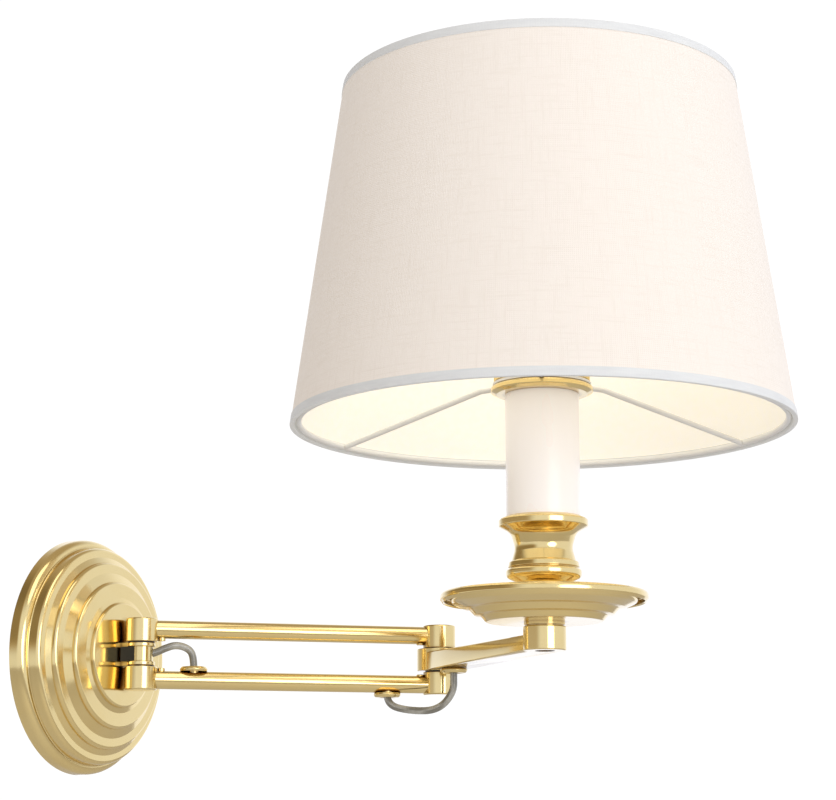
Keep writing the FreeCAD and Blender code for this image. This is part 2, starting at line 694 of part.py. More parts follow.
def wall_cord():
    """Cord from the terminal block through the knuckle, over the hinge and into the lower tube."""
    strap = V(math.cos(math.radians(BRACKET_ANGLE)), 0, math.sin(math.radians(BRACKET_ANGLE)))
    behind = V(0, -CORD_IN_BRACKET_OUT, 0)
    route = [(behind - strap * 15.9, 0), (behind, CORD_BEND), (WALL_AXIS, 7.0),
             (inner_point(6.5, 0.4), 7.0), (inner_point(18.0, 5.4), 9.0),
             (inner_point(TOP_EYELET_AT, -2.0), CORD_BEND),
             (inner_point(TOP_EYELET_AT, -TUBE_Z), CORD_BEND_IN_TUBE),
             (inner_point(CORD_SPLICE_AT, -TUBE_Z), 0)]
    return cable(route, CORD_R)


def elbow_cord():
    """Cord from the lower tube, hanging past the elbow, along the outer arm and up the candle."""
    channel_z = (CHANNEL_LOW + CHANNEL_HIGH) / 2
    leaves = inner_point(BOTTOM_EYELET_AT, ELBOW_LOOP_LOW)
    enters = outer_point(ARM_EYELET_AT, ELBOW_LOOP_LOW)
    route = [(inner_point(CORD_SPLICE_AT, -TUBE_Z), 0),
             (inner_point(BOTTOM_EYELET_AT, -TUBE_Z), CORD_BEND_IN_TUBE),
             (inner_point(BOTTOM_EYELET_AT, ELBOW_LOOP_DROP), 4.0),
             (leaves + (enters - leaves) * ELBOW_LOOP_SLANT_SHARE, 12.0),
             (enters, 16.0),
             (outer_point(ARM_EYELET_AT, channel_z), 3.8),
             (outer_point(OUTER_ARM, channel_z), CORD_BEND),
             (CANDLE_AXIS + V(0, 0, 72.2), 0)]
    return cable(route, CORD_R)


def wall_side_parts():
    return {
        "wall_plate": wall_plate(),
        "mounting_bracket": mounting_bracket(),
        "plate_grub_screws": plate_grub_screws(),
        "terminal_block": terminal_block(),
        "terminal_screws": terminal_screws(),
        "earth_screw": earth_screw(),
        "stem_washer": stem_washer(),
        "stem_nut": stem_nut(),
        "wall_knuckle": wall_knuckle(),
        "cable_block": cable_block(),
        "wall_pivot_studs": wall_pivot_studs(),
    }


def inner_arm_parts():
    wall_barrel = barrel(WALL_BARREL_R, PIN_R + RUNNING_FIT)
    elbow_barrel = barrel(ELBOW_BARREL_R, PIN_R).translate(V(INNER_ARM, 0, 0))
    tube_top = eyelet(-TUBE_Z + TUBE_R, TUBE_WALL)
    tube_bottom = mirror_z(eyelet(TUBE_Z + TUBE_R, TUBE_WALL))
    return {
        "upper_tube": on_inner_arm(arm_tube()),
        "lower_tube": on_inner_arm(lower_tube()),
        "wall_upper_barrel": on_inner_arm(wall_barrel),
        "wall_lower_barrel": on_inner_arm(mirror_z(wall_barrel)),
        "elbow_upper_barrel": on_inner_arm(elbow_barrel),
        "elbow_lower_barrel": on_inner_arm(mirror_z(elbow_barrel)),
        "tube_stop_pins": on_inner_arm(stop_pins()),
        "tube_top_eyelet": on_inner_arm(along_x(tube_top, TOP_EYELET_AT)),
        "tube_bottom_eyelet": on_inner_arm(along_x(tube_bottom, BOTTOM_EYELET_AT)),
        "wall_hinge_washers": hinge_washers(WALL_AXIS, 7.0),
        "elbow_hinge_washers": hinge_washers(ELBOW_AXIS, 7.8),
        "elbow_pivot_pin": elbow_pivot_pin(),
        "wall_cord": wall_cord(),
        "elbow_cord": elbow_cord(),
    }


def outer_arm_parts():
    arm_eyelet = mirror_z(eyelet(ARM_HALF, 0.7))
    parts = {
        "outer_arm_bar": on_outer_arm(outer_arm_bar()),
        "arm_eyelet": on_outer_arm(along_x(arm_eyelet, ARM_EYELET_AT)),
        "collar": on_candle(collar()),
        "threaded_nipple": on_candle(threaded_nipple()),
        "pan_nut": on_candle(hex_nut(PAN_FLOOR, PAN_FLOOR + 5, 8.2)),
        "cup_nut": on_candle(hex_nut(CUP_SHELF, CUP_SHELF + 5, 8.2)),
        "drip_pan": on_candle(drip_pan()),
        "candle_cup": on_candle(candle_cup()),
        "candle_sleeve": on_candle(candle_sleeve()),
        "holder_base": on_candle(holder_base()),
        "holder_skirt": on_candle(holder_skirt()),
        "screw_shell": on_candle(screw_shell()),
        "centre_contact": on_candle(centre_contact()),
        "holder_leads": on_candle(holder_leads()),
        "ring_flange": on_candle(ring_flange()),
        "ring_nut": on_candle(ring_nut()),
        "bulb_cap": on_candle(bulb_cap()),
        "bulb_contact": on_candle(bulb_contact()),
        "bulb_glass": on_candle(bulb_glass()),
        "shade_fabric": on_candle(shade_fabric()),
        "shade_lining": on_candle(shade_lining()),
        "bottom_tape": on_candle(edge_tape(SHADE_BOTTOM, 1)),
        "top_tape": on_candle(edge_tape(SHADE_TOP, -1)),
        "bottom_hoop": on_candle(ring_wire(SHADE_BOTTOM, 1)),
        "top_hoop": on_candle(ring_wire(SHADE_TOP, -1)),
        "carrier_ring": on_candle(carrier_ring()),
    }
    for index in range(CARRIER_ARMS):
        parts[f"carrier_arm_{index + 1}"] = on_candle(carrier_arm(index))
    return parts


def main():
    os.makedirs("parts", exist_ok=True)
    for make in (wall_side_parts, inner_arm_parts, outer_arm_parts):
        for name, shape in make().items():
            shape.exportStep(f"parts/{name}.step")


main()
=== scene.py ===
import bmesh
import bpy
import json
import math
from mathutils import Matrix, Vector

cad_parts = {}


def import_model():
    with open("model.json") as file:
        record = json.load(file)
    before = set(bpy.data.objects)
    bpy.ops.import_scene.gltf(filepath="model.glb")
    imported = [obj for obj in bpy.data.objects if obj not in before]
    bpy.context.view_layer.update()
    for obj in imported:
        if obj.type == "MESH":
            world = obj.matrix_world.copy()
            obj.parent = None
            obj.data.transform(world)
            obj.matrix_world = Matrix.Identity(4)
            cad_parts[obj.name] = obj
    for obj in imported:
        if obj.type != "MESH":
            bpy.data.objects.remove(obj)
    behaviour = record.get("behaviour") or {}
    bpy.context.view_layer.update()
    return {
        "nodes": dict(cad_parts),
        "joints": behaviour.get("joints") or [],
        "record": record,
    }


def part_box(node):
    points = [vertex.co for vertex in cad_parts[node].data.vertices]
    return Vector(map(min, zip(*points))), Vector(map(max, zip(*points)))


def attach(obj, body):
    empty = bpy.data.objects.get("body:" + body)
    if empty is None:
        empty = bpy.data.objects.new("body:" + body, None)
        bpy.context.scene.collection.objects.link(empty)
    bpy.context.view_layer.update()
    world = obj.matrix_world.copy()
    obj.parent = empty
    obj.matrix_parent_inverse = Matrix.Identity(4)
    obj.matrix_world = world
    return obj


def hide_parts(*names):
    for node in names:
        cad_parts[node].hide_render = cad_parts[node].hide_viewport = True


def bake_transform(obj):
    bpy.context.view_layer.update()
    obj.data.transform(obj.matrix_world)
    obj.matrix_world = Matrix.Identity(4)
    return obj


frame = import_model()
MM = 0.001
UP = Vector((0, 0, 1))

# Axes of the lamp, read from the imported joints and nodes
JOINTS = {joint["name"]: joint for joint in frame["joints"]}
WALL_AXIS = Vector(JOINTS["wall_swing"]["pos_m"])
ELBOW_AXIS = Vector(JOINTS["elbow_swing"]["pos_m"])
SLEEVE_LOW, SLEEVE_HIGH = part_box("candle_sleeve")
CANDLE_AXIS = Vector(((SLEEVE_LOW.x + SLEEVE_HIGH.x) / 2, (SLEEVE_LOW.y + SLEEVE_HIGH.y) / 2, 0))
INNER_WAY = (ELBOW_AXIS - WALL_AXIS).normalized()
OUTER_WAY = (CANDLE_AXIS - ELBOW_AXIS).normalized()
INNER_LENGTH = (ELBOW_AXIS - WALL_AXIS).length
OUTER_LENGTH = (CANDLE_AXIS - ELBOW_AXIS).length


# ------------------------------------------------------------ node helpers

class Shader:
    """A material under construction: nodes are added and linked by short calls."""

    def __init__(self, name):
        self.material = bpy.data.materials.new(name)
        self.material.use_nodes = True
        self.tree = self.material.node_tree
        self.bsdf = self.tree.nodes["Principled BSDF"]

    def add(self, kind, values=(), **settings):
        node = self.tree.nodes.new(kind)
        for name, value in settings.items():
            setattr(node, name, value)
        for socket, value in dict(values).items():
            if isinstance(value, bpy.types.NodeSocket):
                self.tree.links.new(value, node.inputs[socket])
            else:
                node.inputs[socket].default_value = value
        return node

    def surface(self, values):
        for socket, value in values.items():
            if isinstance(value, bpy.types.NodeSocket):
                self.tree.links.new(value, self.bsdf.inputs[socket])
            else:
                self.bsdf.inputs[socket].default_value = value

    def place(self, space="Object", scale=(1, 1, 1)):
        coordinates = self.add("ShaderNodeTexCoord")
        mapping = self.add("ShaderNodeMapping", {"Vector": coordinates.outputs[space], "Scale": scale})
        return mapping.outputs["Vector"]

    def noise(self, vector, scale, detail=3.0, roughness=0.5):
        return self.add("ShaderNodeTexNoise", {"Vector": vector, "Scale": scale, "Detail": detail,
                                               "Roughness": roughness}).outputs["Fac"]

    def remap(self, value, low, high, to_low, to_high):
        return self.add("ShaderNodeMapRange", {"Value": value, "From Min": low, "From Max": high,
                                               "To Min": to_low, "To Max": to_high}).outputs["Result"]

    def blend(self, share, first, second):
        mix = self.add("ShaderNodeMix", data_type="RGBA")
        for socket, value in ((mix.inputs[0], share), (mix.inputs[6], first), (mix.inputs[7], second)):
            if isinstance(value, bpy.types.NodeSocket):
                self.tree.links.new(value, socket)
            else:
                socket.default_value = value
        return mix.outputs[2]

    def maths(self, operation, first, second):
        node = self.add("ShaderNodeMath", operation=operation)
        for socket, value in zip(node.inputs, (first, second)):
            if isinstance(value, bpy.types.NodeSocket):
                self.tree.links.new(value, socket)
            else:
                socket.default_value = value
        return node.outputs[0]

    def bump(self, height, distance, strength):
        return self.add("ShaderNodeBump", {"Height": height, "Distance": distance,
                                           "Strength": strength}).outputs["Normal"]


def rgb(red, green, blue):
    return (red, green, blue, 1.0)


# ------------------------------------------------------------ materials

BRASS_TINT = rgb(0.85, 0.67, 0.31)
BRASS_POLISH = 0.11
# Reach of the ambient occlusion that paints shade into the brass's recesses.
PAINTED_SHADE_REACH = 3.5 * MM


def polished_brass():
    """Lacquered brass: faint cloudiness, hairline polishing marks, and painted shade that darkens the
    recesses.
    """
    shader = Shader("brass")
    cloud = shader.noise(shader.place(), 28.0, 4.0, 0.6)
    hairs = shader.noise(shader.place(scale=(1.0, 1.0, 14.0)), 900.0, 2.0, 0.7)
    deep = rgb(BRASS_TINT[0] * 0.98, BRASS_TINT[1] * 0.95, BRASS_TINT[2] * 0.88)
    colour = shader.blend(shader.remap(cloud, 0.35, 0.7, 0.0, 1.0), BRASS_TINT, deep)
    # Painted shade: where ambient occlusion finds a recess or crease, the colour goes dark brown.
    painted_recess_shade = shader.add("ShaderNodeAmbientOcclusion", {"Distance": PAINTED_SHADE_REACH}).outputs["AO"]
    colour = shader.blend(shader.remap(painted_recess_shade, 0.35, 0.85, 0.75, 0.0), colour, rgb(0.30, 0.17, 0.05))
    rough = shader.maths("ADD", shader.remap(cloud, 0.3, 0.75, BRASS_POLISH, BRASS_POLISH + 0.05),
                         shader.remap(hairs, 0.5, 0.8, 0.0, 0.02))
    relief = shader.bump(hairs, 0.000001, 0.2)
    shader.surface({"Base Color": colour, "Metallic": 1.0, "Roughness": rough, "Normal": relief,
                    "Coat Weight": 0.15, "Coat Roughness": 0.05})
    return shader.material


def linen():
    """Cream plain weave: fine warp and weft, with slubs along both, slightly uneven in tone, and a painted
    warm glow.
    """
    shader = Shader("linen")
    threads = {"Vector": shader.place("UV"), "Scale": 320.0, "Distortion": 1.2, "Detail": 1.0}
    warp = shader.add("ShaderNodeTexWave", threads, bands_direction="X").outputs["Fac"]
    weft = shader.add("ShaderNodeTexWave", threads, bands_direction="Y").outputs["Fac"]
    slub_along = shader.noise(shader.place("UV", (45, 620, 1)), 1.0, 2.0, 0.6)
    slub_up = shader.noise(shader.place("UV", (620, 40, 1)), 1.0, 2.0, 0.6)
    slub = shader.maths("MAXIMUM", slub_along, slub_up)
    drift = shader.noise(shader.place("UV", (7, 7, 1)), 1.0, 2.0, 0.5)
    weave = shader.maths("MULTIPLY", warp, weft)
    tone = shader.blend(shader.remap(slub, 0.5, 0.75, 0.0, 1.0), rgb(0.69, 0.64, 0.575),
                        rgb(0.64, 0.585, 0.515))
    tone = shader.blend(shader.remap(drift, 0.3, 0.7, 0.0, 0.35), tone, rgb(0.71, 0.665, 0.60))
    tone = shader.blend(shader.remap(weave, 0.0, 1.0, 0.12, 0.0), tone, rgb(0.5, 0.43, 0.36))
    relief = shader.bump(shader.maths("ADD", weave, slub), 0.00015, 0.6)
    # Painted light: the emission makes the linen glow warm, standing in for the bulb's light shining through
    # the shade.
    shader.surface({"Base Color": tone, "Roughness": 0.9, "Normal": relief, "Sheen Weight": 0.25,
                    "Sheen Roughness": 0.6, "Emission Color": rgb(1.0, 0.88, 0.75),
                    "Emission Strength": 0.28})
    return shader.material


def lining():
    """Warm white laminate inside the shade, with a faint paper grain and a painted warm glow."""
    shader = Shader("lining")
    grain = shader.noise(shader.place("UV", (220, 220, 1)), 1.0, 4.0, 0.6)
    tone = shader.blend(shader.remap(grain, 0.35, 0.7, 0.0, 1.0), rgb(0.94, 0.92, 0.86),
                        rgb(0.91, 0.88, 0.81))
    # Painted light: the emission stands in for the bulb's light falling on the lining.
    shader.surface({"Base Color": tone, "Roughness": 0.75, "Normal": shader.bump(grain, 0.00006, 0.5),
                    "Emission Color": rgb(1.0, 0.94, 0.80), "Emission Strength": 0.16})
    return shader.material


def woven_tape():
    """Cool white bias tape with fine ribs across its width, and a painted faint glow."""
    shader = Shader("tape")
    ribs = shader.add("ShaderNodeTexWave", {"Vector": shader.place("UV"), "Scale": 420.0,
                                            "Distortion": 0.6}, bands_direction="X").outputs["Fac"]
    crease = shader.noise(shader.place("UV", (60, 400, 1)), 1.0, 3.0, 0.6)
    tone = shader.blend(shader.remap(crease, 0.35, 0.7, 0.0, 1.0), rgb(0.66, 0.66, 0.63),
                        rgb(0.60, 0.60, 0.58))
    tone = shader.blend(shader.remap(ribs, 0.0, 1.0, 0.12, 0.0), tone, rgb(0.5, 0.5, 0.54))
    relief = shader.bump(shader.maths("ADD", ribs, crease), 0.0001, 0.5)
    # Painted light: the emission brightens the tape where only dim light reaches it.
    shader.surface({"Base Color": tone, "Roughness": 0.62, "Normal": relief, "Sheen Weight": 0.2,
                    "Emission Color": rgb(0.98, 0.98, 0.95), "Emission Strength": 0.15})
    return shader.material


def candle_gloss():
    """Ivory lacquered tube with the slightest ripple in its gloss, and a painted warm glow."""
    shader = Shader("ivory")
    ripple = shader.noise(shader.place(scale=(1, 1, 0.4)), 70.0, 2.0, 0.5)
    tone = shader.blend(ripple, rgb(0.93, 0.88, 0.83), rgb(0.90, 0.85, 0.79))
    # Painted light: the emission brightens the ivory tube as if more light fell on it.
    shader.surface({"Base Color": tone, "Roughness": shader.remap(ripple, 0.3, 0.7, 0.26, 0.34),
                    "Normal": shader.bump(ripple, 0.0001, 0.3), "Coat Weight": 0.2,
                    "Coat Roughness": 0.12, "Emission Color": rgb(1.0, 0.93, 0.84),
                    "Emission Strength": 0.12})
    return shader.material


def clear_sheath():
    """Translucent grey cord sheath, with the twisted cores showing through as soft bands."""
    shader = Shader("cord")
    twist = shader.add("ShaderNodeTexWave", {"Vector": shader.place("UV"), "Scale": 28.0,
                                             "Distortion": 1.5, "Detail": 2.0},
                       bands_direction="DIAGONAL").outputs["Fac"]
    mottling = shader.noise(shader.place(), 420.0, 3.0, 0.6)
    tone = shader.blend(shader.remap(twist, 0.2, 0.8, 0.0, 1.0), rgb(0.22, 0.205, 0.16),
                        rgb(0.46, 0.44, 0.37))
    tone = shader.blend(shader.remap(mottling, 0.4, 0.7, 0.0, 0.4), tone, rgb(0.22, 0.20, 0.15))
    shader.surface({"Base Color": tone, "Roughness": shader.remap(mottling, 0.3, 0.7, 0.18, 0.3),
                    "Coat Weight": 0.6, "Coat Roughness": 0.1,
                    "Normal": shader.bump(twist, 0.0001, 0.4)})
    return shader.material


def moulded_plastic(name, tone, shade_tone, roughness):
    """Moulded plastic with a fine sandblasted grain."""
    shader = Shader(name)
    grain = shader.noise(shader.place(), 1800.0, 3.0, 0.6)
    patch = shader.noise(shader.place(), 60.0, 2.0, 0.5)
    colour = shader.blend(shader.remap(patch, 0.35, 0.7, 0.0, 1.0), tone, shade_tone)
    shader.surface({"Base Color": colour, "Normal": shader.bump(grain, 0.00003, 0.5),
                    "Roughness": shader.remap(patch, 0.3, 0.7, roughness, roughness + 0.1)})
    return shader.material


def plated_steel(name, tone):
    """Zinc or nickel plate: fine turning marks and cloudy patches."""
    shader = Shader(name)
    marks = shader.noise(shader.place(scale=(1, 1, 12)), 600.0, 2.0, 0.6)
    patch = shader.noise(shader.place(), 120.0, 3.0, 0.6)
    deep = rgb(tone[0] * 0.8, tone[1] * 0.8, tone[2] * 0.82)
    colour = shader.blend(shader.remap(patch, 0.35, 0.7, 0.0, 1.0), tone, deep)
    shader.surface({"Base Color": colour, "Metallic": 1.0, "Normal": shader.bump(marks, 0.00002, 0.4),
                    "Roughness": shader.remap(patch, 0.3, 0.7, 0.25, 0.42)})
    return shader.material


def powder_coat():
    """White powder-coated wire with a slight orange-peel surface."""
    shader = Shader("white_wire")
    peel = shader.noise(shader.place(), 1400.0, 2.0, 0.5)
    patch = shader.noise(shader.place(), 90.0, 2.0, 0.5)
    colour = shader.blend(patch, rgb(0.86, 0.85, 0.82), rgb(0.80, 0.79, 0.75))
    shader.surface({"Base Color": colour, "Roughness": shader.remap(patch, 0.3, 0.7, 0.35, 0.5),
                    "Normal": shader.bump(peel, 0.00005, 0.5)})
    return shader.material


def lit_opal():
    """Frosted bulb, lit: an even warm glow that varies a little with the frost."""
    shader = Shader("opal_glass")
    frost = shader.noise(shader.place(), 90.0, 3.0, 0.6)
    glow = shader.blend(shader.remap(frost, 0.3, 0.7, 0.0, 1.0), rgb(1.0, 0.93, 0.80),
                        rgb(1.0, 0.95, 0.85))
    shader.surface({"Base Color": rgb(0.9, 0.88, 0.82), "Roughness": 0.35, "Emission Color": glow,
                    "Emission Strength": 2.4})
    return shader.material


def make_materials():
    return {
        "brass": polished_brass(),
        "steel": plated_steel("steel", rgb(0.60, 0.60, 0.58)),
        "block_plastic": moulded_plastic("block_plastic", rgb(0.82, 0.81, 0.76), rgb(0.74, 0.73, 0.68), 0.4),
        "black_plastic": moulded_plastic("black_plastic", rgb(0.010, 0.010, 0.012),
                                         rgb(0.018, 0.018, 0.020), 0.3),
        "cord": clear_sheath(),
        "ivory": candle_gloss(),
        "holder_plastic": moulded_plastic("holder_plastic", rgb(0.84, 0.82, 0.76),
                                          rgb(0.78, 0.76, 0.70), 0.25),
        "nickel": plated_steel("nickel", rgb(0.72, 0.70, 0.66)),
        "opal_glass": lit_opal(),
        "linen": linen(),
        "lining": lining(),
        "tape": woven_tape(),
        "white_wire": powder_coat(),
    }


MATERIALS = make_materials()


# ------------------------------------------------------------ mesh helpers

ARC_STEP = math.radians(7)
SHORTEST_RUN = 1e-7
ON_AXIS = 1e-6


def outline_pieces(corners):
    """Runs and arcs of a closed outline of (radius, height, corner radius), as (point, normal) pairs.

    Each piece is ((point, normal), (point, normal)), so that the turned surface gets exact
    normals and its sharp corners stay sharp.
    """
    points = [Vector((radius, height)) for radius, height, _ in corners]
    count = len(points)
    pieces = []
    entries = []
    for index, (point, corner) in enumerate(zip(points, corners)):
        radius = corner[2]
        if radius <= 0:
            entries.append((point, point, []))
            continue
        inward = (points[index - 1] - point).normalized()
        outward = (points[(index + 1) % count] - point).normalized()
        half = inward.angle(outward) / 2
        reach = radius / math.tan(half)
        centre = point + (inward + outward).normalized() * (radius / math.sin(half))
        start = point + inward * reach
        end = point + outward * reach
        turn = math.pi - 2 * half
        steps = max(2, math.ceil(turn / ARC_STEP))
        sign = 1 if inward.cross(outward) < 0 else -1
        ray = start - centre
        arc = []
        for step in range(steps + 1):
            angle = sign * turn * step / steps
            spoke = Vector((ray.x * math.cos(angle) - ray.y * math.sin(angle),
                            ray.x * math.sin(angle) + ray.y * math.cos(angle)))
            arc.append((centre + spoke, spoke.normalized() * sign))
        entries.append((start, end, arc))
    for index in range(count):
        arc = entries[index][2]
        pieces += list(zip(arc, arc[1:]))
        start = entries[index][1]
        end = entries[(index + 1) % count][0]
        if (end - start).length > SHORTEST_RUN:
            run = (end - start).normalized()
            normal = Vector((run.y, -run.x))
            pieces.append(((start, normal), (end, normal)))
    return pieces


def turned(name, corners, axis, way, segments):
    """Mesh turned about a line through axis along way, from an outline in millimetres.

    The outline runs anticlockwise in the (radius, height) half plane. UVs are in metres: round
    the part at its widest, and along the outline.
    """
    pieces = outline_pieces(corners)
    frame_matrix = Matrix.Translation(axis) @ UP.rotation_difference(Vector(way)).to_matrix().to_4x4()
    spin = [Matrix.Rotation(2 * math.pi * k / segments, 3, "Z") for k in range(segments)]
    verts, faces, normals, uvs = [], [], [], []
    rows = {}
    widest = max(corner[0] for corner in corners) * MM
    travelled = 0.0

    def row_of(point):
        key = (round(point.x, 6), round(point.y, 6))
        if key not in rows:
            on_axis = abs(point.x) < ON_AXIS
            local = Vector((point.x * MM, 0, point.y * MM))
            rows[key] = (len(verts), on_axis)
            verts.extend([local] if on_axis else [turn @ local for turn in spin])
        return rows[key]

    for (low, low_normal), (high, high_normal) in pieces:
        first, first_on_axis = row_of(low)
        second, second_on_axis = row_of(high)
        length = (high - low).length * MM
        for k in range(segments):
            after = (k + 1) % segments
            round_at = 2 * math.pi * widest * k / segments
            round_after = 2 * math.pi * widest * (k + 1) / segments
            if first_on_axis and second_on_axis:
                continue
            if first_on_axis:
                corners_here = [(first, k, low_normal, round_at, travelled),
                                (second + after, k + 1, high_normal, round_after, travelled + length),
                                (second + k, k, high_normal, round_at, travelled + length)]
            elif second_on_axis:
                corners_here = [(first + k, k, low_normal, round_at, travelled),
                                (first + after, k + 1, low_normal, round_after, travelled),
                                (second, k, high_normal, round_at, travelled + length)]
            else:
                corners_here = [(first + k, k, low_normal, round_at, travelled),
                                (first + after, k + 1, low_normal, round_after, travelled),
                                (second + after, k + 1, high_normal, round_after, travelled + length),
                                (second + k, k, high_normal, round_at, travelled + length)]
            faces.append([corner[0] for corner in corners_here])
            for _, column, normal, across, along in corners_here:
                normals.append(spin[column % segments] @ Vector((normal.x, 0, normal.y)))
                uvs.append((across, along))
        travelled += length
    mesh = bpy.data.meshes.new(name)
    mesh.from_pydata(verts, [], faces)
    layer = mesh.uv_layers.new(name="metres")
    for loop, place in zip(layer.data, uvs):
        loop.uv = place
    mesh.shade_smooth()
    mesh.normals_split_custom_set(normals)
    mesh.transform(frame_matrix)
    return new_piece(name, mesh)


def new_piece(name, data):
    piece = bpy.data.objects.new(name, data)
    bpy.context.scene.collection.objects.link(piece)
    return piece


def fit(piece, body, slot, *nodes):
    """Gives a piece the material of its slot and its body, and hides the CAD nodes it stands for."""
    piece.data.materials.append(MATERIALS[slot])
    if nodes:
        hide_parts(*nodes)
    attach(piece, body)
    return piece


def mirrored(corners):
    """The same outline below the arms' middle."""
    return [(radius, -height, corner) for radius, height, corner in reversed(corners)]


# ------------------------------------------------------------ pieces

def wall_plate():
    face = [(63.5, 0, 0), (62.9, 8.6, 4.5), (58.6, 8.2, 0.6), (58.0, 14.8, 2.5), (50.5, 15.4, 0.5),
            (50.0, 19.8, 2.0), (39.7, 20.3, 0.4), (39.2, 24.8, 1.8), (28.3, 25.3, 0.4),
            (27.8, 28.2, 1.2), (9.5, 29.0, 0), (5.1, 29.0, 0)]
    back = [(5.1, 27.4, 0), (26.2, 26.6, 0.5), (37.6, 23.2, 0.5), (48.4, 18.2, 0.5), (56.4, 13.2, 0.8),
            (57.0, 6.6, 0.5), (61.3, 7.0, 1.5), (61.9, 0, 0)]
    plate = turned("stepped_plate", face + back, Vector((0, 0, 0)), (0, -1, 0), 256)
    fit(plate, "wall_side", "brass", "wall_plate")


BARREL_BASE = 6.65
BARREL_TOP = 19.2
WALL_BARREL_R = 8.7
ELBOW_BARREL_R = 9.0


def barrel(name, radius, axis, node, upper):
    outline = [(0, BARREL_BASE, 0), (radius, BARREL_BASE, 0.4), (radius, BARREL_TOP, 0.9),
               (0, BARREL_TOP, 0)]
    if not upper:
        outline = mirrored(outline)
    fit(turned(name, outline, axis, UP, 96), "inner_arm", "brass", node)


def barrels():
    barrel("wall_barrel_top", WALL_BARREL_R, WALL_AXIS, "wall_upper_barrel", True)
    barrel("wall_barrel_low", WALL_BARREL_R, WALL_AXIS, "wall_lower_barrel", False)
    barrel("elbow_barrel_top", ELBOW_BARREL_R, ELBOW_AXIS, "elbow_upper_barrel", True)
    barrel("elbow_barrel_low", ELBOW_BARREL_R, ELBOW_AXIS, "elbow_lower_barrel", False)


TUBE_R = 4.9
TUBE_BORE_R = 3.9
TUBE_END = 7.0
TUBE_HIGH, TUBE_LOW = 13.5, -13.5


def tubes():
    """Round arm tubes, whose ends run a little way into the barrels."""
    far_end = INNER_LENGTH / MM - TUBE_END
    outline = [(TUBE_BORE_R, TUBE_END, 0), (TUBE_R, TUBE_END, 0), (TUBE_R, far_end, 0),
               (TUBE_BORE_R, far_end, 0)]
    for name, node, height in (("arm_tube_top", "upper_tube", TUBE_HIGH),
                               ("arm_tube_low", "lower_tube", TUBE_LOW)):
        axis = WALL_AXIS + UP * height * MM
        fit(turned(name, outline, axis, INNER_WAY, 96), "inner_arm", "brass", node)


def drip_pan():
    underside = [(5.0, 8.2, 0), (29.2, 8.2, 1.5), (31.4, 11.0, 1.2), (34.6, 11.5, 0.3),
                 (37.2, 14.4, 1.6), (40.0, 14.9, 1.0), (46.2, 17.6, 3.0)]
    lip = [(47.2, 21.4, 1.2), (50.2, 21.4, 1.2), (50.3, 19.0, 0.5), (49.5, 18.3, 0.2),
           (50.4, 17.5, 0.3), (51.8, 19.2, 1.4), (51.6, 22.8, 2.2), (46.4, 22.8, 1.2)]
    inside = [(45.0, 18.9, 2.0), (39.6, 16.5, 1.0), (36.3, 15.9, 1.0), (33.8, 13.1, 0.6),
              (30.6, 12.5, 1.0), (28.6, 10.0, 0.4), (5.0, 10.0, 0)]
    pan = turned("candle_drip_pan", underside + lip + inside, CANDLE_AXIS, UP, 224)
    fit(pan, "outer_arm", "brass", "drip_pan")


def candle_cup():
    outside = [(13.5, 10.0, 0), (13.5, 12.2, 0.8), (11.0, 15.0, 2.0), (11.2, 24.0, 6.0),
               (13.0, 27.6, 2.0), (18.9, 30.0, 2.6), (18.9, 33.8, 1.6), (17.2, 34.6, 0.3),
               (17.9, 35.2, 0.5), (17.4, 37.8, 0.8), (16.2, 38.2, 0.3), (14.3, 45.0, 8.0),
               (16.5, 52.5, 6.0), (22.4, 55.6, 0.8), (22.4, 58.9, 1.3), (19.6, 60.4, 0.4)]
    inside = [(18.65, 60.4, 0), (18.65, 54.5, 0), (5.1, 54.5, 0), (5.1, 51.5, 0), (12.4, 51.5, 1.0),
              (12.4, 42.0, 1.0), (9.4, 20.0, 2.0), (9.4, 10.0, 0)]
    fit(turned("turned_cup", outside + inside, CANDLE_AXIS, UP, 160), "outer_arm", "brass", "candle_cup")


def candle_sleeve():
    outline = [(17.6, 54.5, 0), (18.6, 54.5, 0.3), (18.6, 122.8, 0.3), (17.6, 122.8, 0)]
    fit(turned("ivory_sleeve", outline, CANDLE_AXIS, UP, 128), "outer_arm", "ivory", "candle_sleeve")


def ring_flange():
    outline = [(17.0, 122.8, 0), (23.0, 122.8, 0.6), (25.8, 124.0, 0.8), (25.8, 126.0, 0.8),
               (24.4, 127.2, 0.3), (17.0, 127.2, 0)]
    fit(turned("flange_ring", outline, CANDLE_AXIS, UP, 128), "outer_arm", "brass", "ring_flange")


SHADE_BOTTOM, SHADE_TOP = 105.8, 284.3
SHADE_BOTTOM_R, SHADE_TOP_R = 127.0, 101.5
HOOP_WIRE_R = 1.5
TAPE_WIDTH = 4.6
TAPE_THICK, FABRIC_THICK, LINING_THICK = 0.4, 0.5, 1.1
FABRIC_BACK = TAPE_THICK + FABRIC_THICK
LINING_BACK = FABRIC_BACK + LINING_THICK
TAPE_BACK = LINING_BACK + TAPE_THICK
TAPE_FOLD = 0.45
HOOP_IN_FROM_EDGE, HOOP_IN_FROM_FACE = 2.2, 4.25


def shade_r(height):
    share = (height - SHADE_BOTTOM) / (SHADE_TOP - SHADE_BOTTOM)
    return SHADE_BOTTOM_R + share * (SHADE_TOP_R - SHADE_BOTTOM_R)


def shade_shell(name, slot, node, outside, inside):
    low, high = SHADE_BOTTOM + TAPE_THICK, SHADE_TOP - TAPE_THICK
    outline = [(shade_r(low) - inside, low, 0), (shade_r(low) - outside, low, 0),
               (shade_r(high) - outside, high, 0), (shade_r(high) - inside, high, 0)]
    return fit(turned(name, outline, CANDLE_AXIS, UP, 256), "outer_arm", slot, node)


